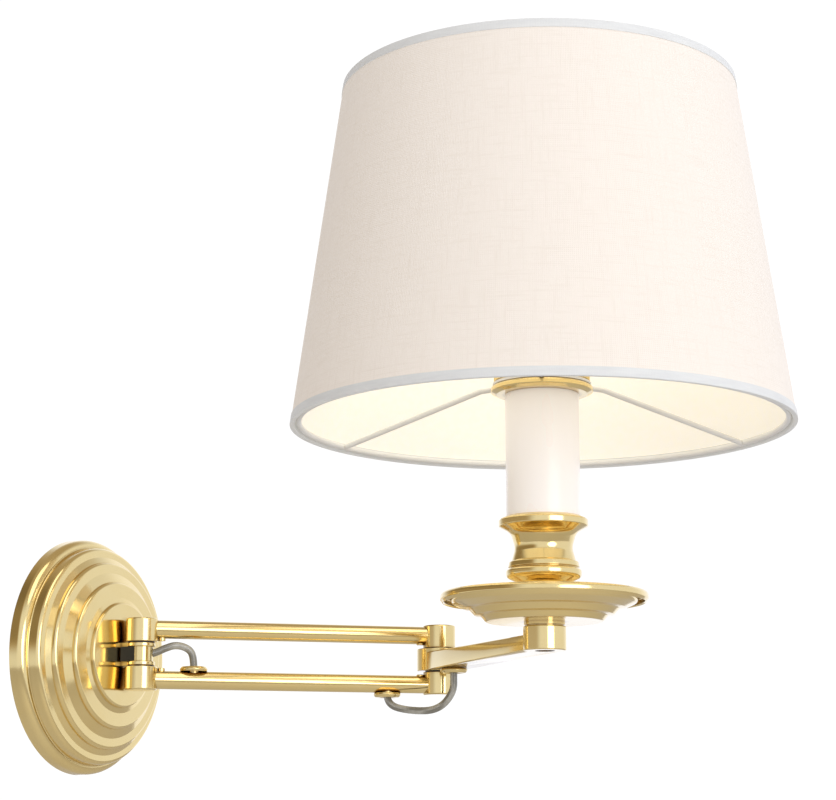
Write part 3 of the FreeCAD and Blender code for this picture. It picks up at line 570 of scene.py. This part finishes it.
def edge_tape(name, node, edge, inward):
    """Tape folded round an edge, with soft folded corners."""
    far = edge + inward * TAPE_WIDTH
    near = edge + inward * TAPE_FOLD
    outline = [(shade_r(edge) - TAPE_BACK, edge, 0.35), (shade_r(edge), edge, 0.35),
               (shade_r(far), far, 0.15), (shade_r(far) - TAPE_THICK, far, 0),
               (shade_r(near) - TAPE_THICK, near, 0), (shade_r(near) - LINING_BACK, near, 0),
               (shade_r(far) - LINING_BACK, far, 0), (shade_r(far) - TAPE_BACK, far, 0.15)]
    if inward < 0:
        outline = outline[::-1]
    return fit(turned(name, outline, CANDLE_AXIS, UP, 256), "outer_arm", "tape", node)


def hoop(name, node, edge, inward):
    """Round wire hoop inside the shade, against its edge tape."""
    height = edge + inward * HOOP_IN_FROM_EDGE
    middle = shade_r(height) - HOOP_IN_FROM_FACE
    low, high = height - HOOP_WIRE_R, height + HOOP_WIRE_R
    inner, outer = middle - HOOP_WIRE_R, middle + HOOP_WIRE_R
    outline = [(inner, low, HOOP_WIRE_R), (outer, low, HOOP_WIRE_R), (outer, high, HOOP_WIRE_R),
               (inner, high, HOOP_WIRE_R)]
    fit(turned(name, outline, CANDLE_AXIS, UP, 192), "outer_arm", "white_wire", node)


def shade():
    laminate = shade_shell("shade_laminate", "lining", "shade_lining", FABRIC_BACK, LINING_BACK)
    fabric = shade_shell("linen_shade", "linen", "shade_fabric", TAPE_THICK, FABRIC_BACK)
    low_tape = edge_tape("bottom_edge_tape", "bottom_tape", SHADE_BOTTOM, 1)
    high_tape = edge_tape("top_edge_tape", "top_tape", SHADE_TOP, -1)
    hoop("bottom_wire_hoop", "bottom_hoop", SHADE_BOTTOM, 1)
    hoop("top_wire_hoop", "top_hoop", SHADE_TOP, -1)


def along_inner(distance, height):
    """Point over the inner arm's line, in millimetres from the wall hinge."""
    return WALL_AXIS + INNER_WAY * distance * MM + UP * height * MM


def along_outer(distance, height):
    """Point over the outer arm's line, in millimetres from the elbow hinge."""
    return ELBOW_AXIS + OUTER_WAY * distance * MM + UP * height * MM


TOP_EYELET_AT = 28.5
BOTTOM_EYELET_AT = INNER_LENGTH / MM - 29.7
ARM_EYELET_AT = 22.0
ARM_UNDERSIDE = -6.0


def eyelet(name, node, body, place, seat, neck):
    """Brass eyelet standing on a seat height; a negative seat faces down."""
    rise = abs(seat)
    outline = [(2.1, rise - neck, 0), (2.95, rise - neck, 0), (2.95, rise, 0), (7.2, rise, 0.2),
               (7.6, rise + 1.2, 0.8), (6.4, rise + 2.6, 0.9), (2.1, rise + 2.0, 0.4)]
    if seat < 0:
        outline = mirrored(outline)
    fit(turned(name, outline, place, UP, 72), body, "brass", node)


def eyelets():
    on_top = along_inner(TOP_EYELET_AT, TUBE_LOW)
    beneath = along_inner(BOTTOM_EYELET_AT, TUBE_LOW)
    under_arm = along_outer(ARM_EYELET_AT, 0)
    eyelet("eyelet_on_tube", "tube_top_eyelet", "inner_arm", on_top, TUBE_R, 1.0)
    eyelet("eyelet_under_tube", "tube_bottom_eyelet", "inner_arm", beneath, -TUBE_R, 1.0)
    eyelet("eyelet_under_arm", "arm_eyelet", "outer_arm", under_arm, ARM_UNDERSIDE, 0.7)


def collar():
    outline = [(5.0, 6.0, 0), (9.6, 6.0, 0), (9.6, 6.6, 0), (10.2, 6.6, 0.2), (10.2, 8.2, 0),
               (5.0, 8.2, 0)]
    fit(turned("turned_collar", outline, CANDLE_AXIS, UP, 96), "outer_arm", "brass", "collar")


KNUCKLE_R, END_BARREL_R = 12.3, 10.7
PIVOT_BORE_R, NIPPLE_BORE_R = 3.55, 5.0
KNUCKLE_TOP = 6.1
BAR_WIDTH = 20.0
BAR_START = 6.0
BAR_TOP_AT_ELBOW, BAR_TOP_AT_END = 3.9, 1.8
# The bar's underside is this much above the end barrel's, so that the two faces don't coincide
BAR_INSET = 0.03
NIPPLE_CUT_R, NIPPLE_CUT_HEIGHT = 5.3, 20.0


def bar_body():
    """Flat bar that tapers in height towards the candle, with fine rounded edges."""
    half = BAR_WIDTH / 2
    base = ARM_UNDERSIDE + BAR_INSET
    corners = []
    for distance, top in ((BAR_START, BAR_TOP_AT_ELBOW), (OUTER_LENGTH / MM, BAR_TOP_AT_END)):
        for side, height in ((-half, base), (half, base), (half, top), (-half, top)):
            corners.append(along_outer(distance, height) + OUTER_WAY.cross(UP) * side * MM)
    faces = [(3, 2, 1, 0), (4, 5, 6, 7)]
    faces += [(k, (k + 1) % 4, 4 + (k + 1) % 4, 4 + k) for k in range(4)]
    mesh = bpy.data.meshes.new("bar_body")
    mesh.from_pydata(corners, [], faces)
    form = bmesh.new()
    form.from_mesh(mesh)
    bmesh.ops.recalc_face_normals(form, faces=form.faces)
    bmesh.ops.bevel(form, geom=list(form.edges), offset=0.7 * MM, segments=4, profile=0.5,
                    affect="EDGES")
    form.to_mesh(mesh)
    form.free()
    bar = new_piece("bar_body", mesh)
    clear_of_nipple(bar)
    bar.data.shade_smooth()
    bar.data.set_sharp_from_angle(angle=math.radians(30))
    return bar


def clear_of_nipple(bar):
    """Cuts the bar back inside the end barrel's wall, so that the barrel's bore stays open."""
    tool = bpy.data.meshes.new("bore")
    form = bmesh.new()
    bmesh.ops.create_cone(form, cap_ends=True, segments=64, radius1=NIPPLE_CUT_R * MM,
                          radius2=NIPPLE_CUT_R * MM, depth=NIPPLE_CUT_HEIGHT * MM,
                          matrix=Matrix.Translation(CANDLE_AXIS))
    form.to_mesh(tool)
    form.free()
    cutter = new_piece("bore", tool)
    cut = bar.modifiers.new("bore", "BOOLEAN")
    cut.operation = "DIFFERENCE"
    cut.object = cutter
    bpy.context.view_layer.update()
    opened = bpy.data.meshes.new_from_object(bar.evaluated_get(bpy.context.evaluated_depsgraph_get()))
    bar.modifiers.clear()
    bar.data = opened
    bpy.data.objects.remove(cutter)


def joined(name, parts):
    """One piece made of several, each keeping its own normals."""
    bpy.ops.object.select_all(action="DESELECT")
    for part in parts:
        part.select_set(True)
    bpy.context.view_layer.objects.active = parts[0]
    bpy.ops.object.join()
    parts[0].name = name
    return parts[0]


def outer_arm():
    knuckle = [(PIVOT_BORE_R, -KNUCKLE_TOP, 0), (KNUCKLE_R, -KNUCKLE_TOP, 0.4),
               (KNUCKLE_R, KNUCKLE_TOP, 0.4), (PIVOT_BORE_R, KNUCKLE_TOP, 0)]
    end = [(NIPPLE_BORE_R, ARM_UNDERSIDE, 0), (END_BARREL_R, ARM_UNDERSIDE, 0.6),
           (END_BARREL_R, -ARM_UNDERSIDE, 0.6), (NIPPLE_BORE_R, -ARM_UNDERSIDE, 0)]
    parts = [turned("knuckle_disc", knuckle, ELBOW_AXIS, UP, 128),
             turned("end_barrel", end, CANDLE_AXIS, UP, 128), bar_body()]
    fit(joined("tapering_arm", parts), "outer_arm", "brass", "outer_arm_bar")


def spline_points(name, controls):
    """Points along the smooth NURBS line that follows the control points."""
    curve = bpy.data.curves.new(name, "CURVE")
    curve.dimensions = "3D"
    curve.resolution_u = 10
    spline = curve.splines.new("NURBS")
    spline.points.add(len(controls) - 1)
    for point, place in zip(spline.points, controls):
        point.co = (*place, 1.0)
    spline.order_u = 3
    spline.use_endpoint_u = True
    line = new_piece(name, curve)
    sampled = bpy.data.meshes.new_from_object(line)
    points = [vertex.co.copy() for vertex in sampled.vertices]
    bpy.data.objects.remove(line)
    bpy.data.meshes.remove(sampled)
    return points


CORD_R = 2.0 * MM
CORD_SIDES = 24


def swept(name, controls):
    """Round cord along a smooth line, closed at both ends, with UVs in metres."""
    radius, sides = CORD_R, CORD_SIDES
    points = spline_points(name + "_line", controls)
    verts, faces, uvs = [], [], []
    tangents = [(after - before).normalized() for before, after in
                zip(points[:1] + points[:-1], points[1:] + points[-1:])]
    across = tangents[0].orthogonal().normalized()
    travelled = [0.0]
    for index, (point, tangent) in enumerate(zip(points, tangents)):
        if index:
            across = tangents[index - 1].rotation_difference(tangent) @ across
            travelled.append(travelled[-1] + (point - points[index - 1]).length)
        up = tangent.cross(across)
        for side in range(sides):
            angle = 2 * math.pi * side / sides
            verts.append(point + (across * math.cos(angle) + up * math.sin(angle)) * radius)
    girth = 2 * math.pi * radius
    for index in range(len(points) - 1):
        for side in range(sides):
            after = (side + 1) % sides
            low, high = index * sides, (index + 1) * sides
            faces.append((low + side, low + after, high + after, high + side))
            left, right = girth * side / sides, girth * (side + 1) / sides
            uvs += [(left, travelled[index]), (right, travelled[index]),
                    (right, travelled[index + 1]), (left, travelled[index + 1])]
    last = (len(points) - 1) * sides
    for cap in (range(sides - 1, -1, -1), range(last, last + sides)):
        faces.append(tuple(cap))
        uvs += [(0, 0)] * sides
    mesh = bpy.data.meshes.new(name)
    mesh.from_pydata(verts, [], faces)
    layer = mesh.uv_layers.new(name="metres")
    for loop, place in zip(layer.data, uvs):
        loop.uv = place
    mesh.shade_smooth()
    return new_piece(name, mesh)


CORDS_MEET_AT = 83.0
LOOP_LOW = -28.5
CHANNEL = -1.75


def cord_piece(name, node, controls):
    cord = swept(name, controls)
    cord.data.materials.append(MATERIALS["cord"])
    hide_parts(node)
    return cord


def wall_cord():
    """Cord from the terminal block through the wall knuckle, over the hinge and into the lower tube."""
    strap = Vector((1, 0, 1)).normalized()
    behind = Vector((0, -4.4, 0))
    controls = [place * MM for place in (behind - strap * 15.9, behind - strap * 5, behind,
                                         Vector((0, -10, 0)), Vector((0, -33, 0)))]
    controls += [WALL_AXIS, along_inner(6.5, 0.4), along_inner(12.5, 3.4), along_inner(19.0, 5.6),
                 along_inner(26.5, 3.2), along_inner(TOP_EYELET_AT, -2.5),
                 along_inner(TOP_EYELET_AT, TUBE_LOW), along_inner(38.0, TUBE_LOW),
                 along_inner(CORDS_MEET_AT, TUBE_LOW)]
    cord = cord_piece("cord_over_wall_hinge", "wall_cord", controls)
    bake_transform(cord)


def elbow_cord():
    """Cord from the lower tube, hanging past the elbow, along the outer arm and up the candle."""
    inner_end = along_inner(BOTTOM_EYELET_AT, 0)
    outer_end = along_outer(ARM_EYELET_AT, 0)
    across = outer_end - inner_end
    way = across.normalized()
    low = UP * LOOP_LOW * MM
    controls = [along_inner(CORDS_MEET_AT, TUBE_LOW), along_inner(BOTTOM_EYELET_AT - 9.0, TUBE_LOW),
                along_inner(BOTTOM_EYELET_AT, TUBE_LOW), along_inner(BOTTOM_EYELET_AT, -25.0),
                inner_end + across * 0.35 + low, outer_end - way * 9.0 * MM + low,
                along_outer(ARM_EYELET_AT, -19.0), along_outer(ARM_EYELET_AT, -9.0),
                along_outer(ARM_EYELET_AT, CHANNEL), along_outer(ARM_EYELET_AT + 8.0, CHANNEL)]
    end = OUTER_LENGTH / MM
    controls += [along_outer(end - 7.0, CHANNEL), along_outer(end, CHANNEL),
                 along_outer(end, 10.0), along_outer(end, 72.2)]
    cord = cord_piece("cord_under_elbow", "elbow_cord", controls)
    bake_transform(cord)


# ------------------------------------------------------------ stage

FLOOR_REACH = 4.0
FLOOR_HEIGHT = -0.9


def floor():
    corners = [(across * FLOOR_REACH, along * FLOOR_REACH, FLOOR_HEIGHT)
               for across, along in ((-1, -1), (1, -1), (1, 1), (-1, 1))]
    mesh = bpy.data.meshes.new("floor")
    mesh.from_pydata(corners, [], [(0, 1, 2, 3)])
    plane = new_piece("floor", mesh)
    shader = Shader("floor_paper")
    tone = shader.blend(shader.noise(shader.place(), 3.0), rgb(0.82, 0.82, 0.81), rgb(0.79, 0.79, 0.78))
    shader.surface({"Base Color": tone, "Roughness": 0.8})
    mesh.materials.append(shader.material)


CAMERA_AT = Vector((-0.9653, -0.6974, -0.0946))
CAMERA_TURN = math.radians(-63.0)
CAMERA_PITCH = math.radians(11.4)
CAMERA_LENS = 92.74
SENSOR_WIDTH = 36.0


def camera():
    data = bpy.data.cameras.new("camera")
    data.lens = CAMERA_LENS
    data.sensor_width = SENSOR_WIDTH
    seen_from = new_piece("camera", data)
    seen_from.location = CAMERA_AT
    seen_from.rotation_euler = (math.radians(90) + CAMERA_PITCH, 0, CAMERA_TURN)
    bpy.context.scene.camera = seen_from


BEHIND_CAMERA = (-0.89, -0.45, 0.0)
LEFT_OF_CAMERA = (-0.45, 0.89, 0.0)
COOL_WHITE = rgb(0.96, 1.0, 1.14)
WARM_DIM = rgb(1.0, 0.80, 0.52)
LEVEL_AHEAD, LEVEL_ROUND = 1.15, 0.95
SHARE_LEFT, SHARE_OVERHEAD = 0.32, 0.5
BACKDROP_LEVEL = 1.05


def world():
    """A white backdrop; the light itself is white ahead, and dimmer and warmer to the left and overhead."""
    scene_world = bpy.data.worlds.new("studio")
    scene_world.use_nodes = True
    bpy.context.scene.world = scene_world
    nodes = scene_world.node_tree.nodes
    links = scene_world.node_tree.links

    def remapped(source, low, high, to_low, to_high):
        node = nodes.new("ShaderNodeMapRange")
        node.interpolation_type = "SMOOTHSTEP"
        links.new(source, node.inputs["Value"])
        for socket, value in (("From Min", low), ("From Max", high), ("To Min", to_low),
                              ("To Max", to_high)):
            node.inputs[socket].default_value = value
        return node.outputs["Result"]

    def combined(kind, first, second):
        node = nodes.new("ShaderNodeMath")
        node.operation = kind
        links.new(first, node.inputs[0])
        links.new(second, node.inputs[1])
        return node.outputs[0]

    place = nodes.new("ShaderNodeTexCoord").outputs["Generated"]

    def towards(direction):
        node = nodes.new("ShaderNodeVectorMath")
        node.operation = "DOT_PRODUCT"
        node.inputs[1].default_value = direction
        links.new(place, node.inputs[0])
        return node.outputs["Value"]

    behind = towards(BEHIND_CAMERA)
    left = towards(LEFT_OF_CAMERA)
    height = towards((0.0, 0.0, 1.0))
    level = remapped(behind, -0.85, -0.4, LEVEL_AHEAD, LEVEL_ROUND)
    left_side = combined("MULTIPLY", remapped(left, 0.25, 0.8, 0.0, 1.0),
                         remapped(height, -0.1, 0.3, 0.2, 1.0))
    dimmed = combined("MULTIPLY", level, remapped(left_side, 0.0, 1.0, 1.0, SHARE_LEFT))
    dimmed = combined("MULTIPLY", dimmed, remapped(height, 0.5, 0.85, 1.0, SHARE_OVERHEAD))
    tint = nodes.new("ShaderNodeMix")
    tint.data_type = "RGBA"
    links.new(remapped(dimmed, 0.3, 0.85, 1.0, 0.0), tint.inputs[0])
    tint.inputs[6].default_value = COOL_WHITE
    tint.inputs[7].default_value = WARM_DIM
    background = nodes["Background"]
    links.new(tint.outputs[2], background.inputs["Color"])
    links.new(dimmed, background.inputs["Strength"])
    backdrop = nodes.new("ShaderNodeBackground")
    backdrop.inputs["Color"].default_value = rgb(1.0, 1.0, 1.0)
    backdrop.inputs["Strength"].default_value = BACKDROP_LEVEL
    seen = nodes.new("ShaderNodeMixShader")
    links.new(nodes.new("ShaderNodeLightPath").outputs["Is Camera Ray"], seen.inputs[0])
    links.new(background.outputs[0], seen.inputs[1])
    links.new(backdrop.outputs[0], seen.inputs[2])
    links.new(seen.outputs[0], nodes["World Output"].inputs["Surface"])


LIT_POINT = Vector((0.05, -0.2, 0.05))


def softbox(name, where, size, power):
    data = bpy.data.lights.new(name, "AREA")
    data.shape = "DISK"
    data.size = size
    data.energy = power
    lamp = new_piece(name, data)
    lamp.location = where
    lamp.rotation_euler = (LIT_POINT - Vector(where)).to_track_quat("-Z", "Y").to_euler()


def lights():
    softbox("key", (-0.95, -1.75, 0.25), 1.1, 7.5)
    softbox("overhead", (-0.5, -0.9, 1.6), 1.4, 7)


wall_plate()
barrels()
tubes()
eyelets()
outer_arm()
collar()
drip_pan()
candle_cup()
candle_sleeve()
ring_flange()
shade()
wall_cord()
elbow_cord()
for node, cad in frame["nodes"].items():
    slot = next(part["material_slot"] for part in frame["record"]["subparts"] if part["node"] == node)
    cad.data.materials.clear()
    cad.data.materials.append(MATERIALS[slot])
floor()
camera()
world()
lights()
bpy.context.scene.view_settings.view_transform = "Standard"
